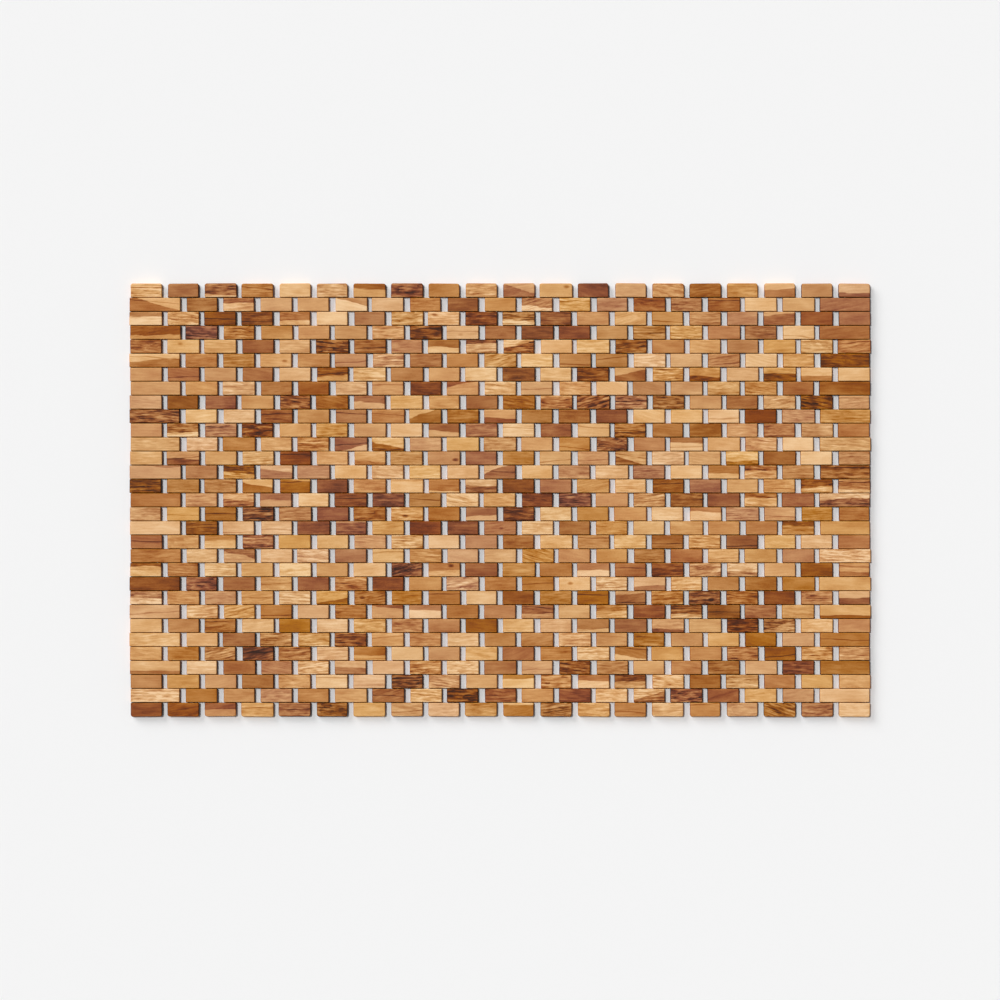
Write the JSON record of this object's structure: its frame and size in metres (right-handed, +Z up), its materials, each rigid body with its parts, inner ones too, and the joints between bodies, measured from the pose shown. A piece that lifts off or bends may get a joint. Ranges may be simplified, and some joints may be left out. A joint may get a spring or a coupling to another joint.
{
  "type": "wooden roll-up bath mat",
  "caption": "Rectangular bath mat of small wooden blocks strung on hidden cords in a brick bond, whose rows hinge on each other so that it rolls up or drapes.",
  "frame": {"origin": "middle of the underside, on the floor that the mat lies on", "axes": "+X along the rows, the mat's long side; +Y across the rows, towards row_01; +Z up, away from the floor"},
  "size_m": [0.8, 0.4672, 0.008],
  "materials": {
    "wood_blocks": "oiled satin, sanded, mixed heartwood and sapwood",
    "cord": "braided polyester cord, matt"
  },
  "bodies": {
    "row_01": {"row_01": "wood_blocks"},
    "row_02": {"row_02": "wood_blocks"},
    "row_03": {"row_03": "wood_blocks"},
    "row_04": {"row_04": "wood_blocks"},
    "row_05": {"row_05": "wood_blocks"},
    "row_06": {"row_06": "wood_blocks"},
    "row_07": {"row_07": "wood_blocks"},
    "row_08": {"row_08": "wood_blocks"},
    "row_09": {"row_09": "wood_blocks"},
    "row_10": {"row_10": "wood_blocks"},
    "row_11": {"row_11": "wood_blocks"},
    "row_12": {"row_12": "wood_blocks"},
    "row_13": {"row_13": "wood_blocks"},
    "row_14": {"row_14": "wood_blocks"},
    "row_15": {"row_15": "wood_blocks"},
    "row_16": {"row_16": "wood_blocks"},
    "row_17": {"row_17": "wood_blocks"},
    "row_18": {"row_18": "wood_blocks"},
    "row_19": {"row_19": "wood_blocks"},
    "row_20": {"row_20": "wood_blocks"},
    "row_21": {"row_21": "wood_blocks"},
    "row_22": {"row_22": "wood_blocks"},
    "row_23": {"row_23": "wood_blocks"},
    "row_24": {"row_24": "wood_blocks"},
    "row_25": {"row_25": "wood_blocks"},
    "row_26": {"row_26": "wood_blocks"},
    "row_27": {"row_27": "wood_blocks"},
    "row_28": {"row_28": "wood_blocks"},
    "row_29": {"row_29": "wood_blocks"},
    "row_30": {"row_30": "wood_blocks"},
    "row_31": {"row_31": "wood_blocks", "cord_01": "cord", "cord_02": "cord", "cord_03": "cord", "cord_04": "cord", "cord_05": "cord", "cord_06": "cord", "cord_07": "cord", "cord_08": "cord", "cord_09": "cord", "cord_10": "cord", "cord_11": "cord", "cord_12": "cord", "cord_13": "cord", "cord_14": "cord", "cord_15": "cord", "cord_16": "cord", "cord_17": "cord", "cord_18": "cord", "cord_19": "cord", "cord_20": "cord"}
  },
  "joints": [
    {"name": "fold_01", "type": "hinge", "parent": "row_02", "child": "row_01", "pos_m": [0, 0.21895, 0.004], "axis": [1, 0, 0], "range_deg": [-11.5, 11.5]},
    {"name": "fold_02", "type": "hinge", "parent": "row_03", "child": "row_02", "pos_m": [0, 0.20385, 0.004], "axis": [1, 0, 0], "range_deg": [-11.5, 11.5]},
    {"name": "fold_03", "type": "hinge", "parent": "row_04", "child": "row_03", "pos_m": [0, 0.18875, 0.004], "axis": [1, 0, 0], "range_deg": [-11.5, 11.5]},
    {"name": "fold_04", "type": "hinge", "parent": "row_05", "child": "row_04", "pos_m": [0, 0.17365, 0.004], "axis": [1, 0, 0], "range_deg": [-11.5, 11.5]},
    {"name": "fold_05", "type": "hinge", "parent": "row_06", "child": "row_05", "pos_m": [0, 0.15855, 0.004], "axis": [1, 0, 0], "range_deg": [-11.5, 11.5]},
    {"name": "fold_06", "type": "hinge", "parent": "row_07", "child": "row_06", "pos_m": [0, 0.14345, 0.004], "axis": [1, 0, 0], "range_deg": [-11.5, 11.5]},
    {"name": "fold_07", "type": "hinge", "parent": "row_08", "child": "row_07", "pos_m": [0, 0.12835, 0.004], "axis": [1, 0, 0], "range_deg": [-11.5, 11.5]},
    {"name": "fold_08", "type": "hinge", "parent": "row_09", "child": "row_08", "pos_m": [0, 0.11325, 0.004], "axis": [1, 0, 0], "range_deg": [-11.5, 11.5]},
    {"name": "fold_09", "type": "hinge", "parent": "row_10", "child": "row_09", "pos_m": [0, 0.09815, 0.004], "axis": [1, 0, 0], "range_deg": [-11.5, 11.5]},
    {"name": "fold_10", "type": "hinge", "parent": "row_11", "child": "row_10", "pos_m": [0, 0.08305, 0.004], "axis": [1, 0, 0], "range_deg": [-11.5, 11.5]},
    {"name": "fold_11", "type": "hinge", "parent": "row_12", "child": "row_11", "pos_m": [0, 0.06795, 0.004], "axis": [1, 0, 0], "range_deg": [-11.5, 11.5]},
    {"name": "fold_12", "type": "hinge", "parent": "row_13", "child": "row_12", "pos_m": [0, 0.05285, 0.004], "axis": [1, 0, 0], "range_deg": [-11.5, 11.5]},
    {"name": "fold_13", "type": "hinge", "parent": "row_14", "child": "row_13", "pos_m": [0, 0.03775, 0.004], "axis": [1, 0, 0], "range_deg": [-11.5, 11.5]},
    {"name": "fold_14", "type": "hinge", "parent": "row_15", "child": "row_14", "pos_m": [0, 0.02265, 0.004], "axis": [1, 0, 0], "range_deg": [-11.5, 11.5]},
    {"name": "fold_15", "type": "hinge", "parent": "row_16", "child": "row_15", "pos_m": [0, 0.00755, 0.004], "axis": [1, 0, 0], "range_deg": [-11.5, 11.5]},
    {"name": "fold_16", "type": "hinge", "parent": "row_16", "child": "row_17", "pos_m": [0, -0.00755, 0.004], "axis": [-1, 0, 0], "range_deg": [-11.5, 11.5]},
    {"name": "fold_17", "type": "hinge", "parent": "row_17", "child": "row_18", "pos_m": [0, -0.02265, 0.004], "axis": [-1, 0, 0], "range_deg": [-11.5, 11.5]},
    {"name": "fold_18", "type": "hinge", "parent": "row_18", "child": "row_19", "pos_m": [0, -0.03775, 0.004], "axis": [-1, 0, 0], "range_deg": [-11.5, 11.5]},
    {"name": "fold_19", "type": "hinge", "parent": "row_19", "child": "row_20", "pos_m": [0, -0.05285, 0.004], "axis": [-1, 0, 0], "range_deg": [-11.5, 11.5]},
    {"name": "fold_20", "type": "hinge", "parent": "row_20", "child": "row_21", "pos_m": [0, -0.06795, 0.004], "axis": [-1, 0, 0], "range_deg": [-11.5, 11.5]},
    {"name": "fold_21", "type": "hinge", "parent": "row_21", "child": "row_22", "pos_m": [0, -0.08305, 0.004], "axis": [-1, 0, 0], "range_deg": [-11.5, 11.5]},
    {"name": "fold_22", "type": "hinge", "parent": "row_22", "child": "row_23", "pos_m": [0, -0.09815, 0.004], "axis": [-1, 0, 0], "range_deg": [-11.5, 11.5]},
    {"name": "fold_23", "type": "hinge", "parent": "row_23", "child": "row_24", "pos_m": [0, -0.11325, 0.004], "axis": [-1, 0, 0], "range_deg": [-11.5, 11.5]},
    {"name": "fold_24", "type": "hinge", "parent": "row_24", "child": "row_25", "pos_m": [0, -0.12835, 0.004], "axis": [-1, 0, 0], "range_deg": [-11.5, 11.5]},
    {"name": "fold_25", "type": "hinge", "parent": "row_25", "child": "row_26", "pos_m": [0, -0.14345, 0.004], "axis": [-1, 0, 0], "range_deg": [-11.5, 11.5]},
    {"name": "fold_26", "type": "hinge", "parent": "row_26", "child": "row_27", "pos_m": [0, -0.15855, 0.004], "axis": [-1, 0, 0], "range_deg": [-11.5, 11.5]},
    {"name": "fold_27", "type": "hinge", "parent": "row_27", "child": "row_28", "pos_m": [0, -0.17365, 0.004], "axis": [-1, 0, 0], "range_deg": [-11.5, 11.5]},
    {"name": "fold_28", "type": "hinge", "parent": "row_28", "child": "row_29", "pos_m": [0, -0.18875, 0.004], "axis": [-1, 0, 0], "range_deg": [-11.5, 11.5]},
    {"name": "fold_29", "type": "hinge", "parent": "row_29", "child": "row_30", "pos_m": [0, -0.20385, 0.004], "axis": [-1, 0, 0], "range_deg": [-11.5, 11.5]},
    {"name": "fold_30", "type": "hinge", "parent": "row_30", "child": "row_31", "pos_m": [0, -0.21895, 0.004], "axis": [-1, 0, 0], "range_deg": [-11.5, 11.5]}
  ]
}
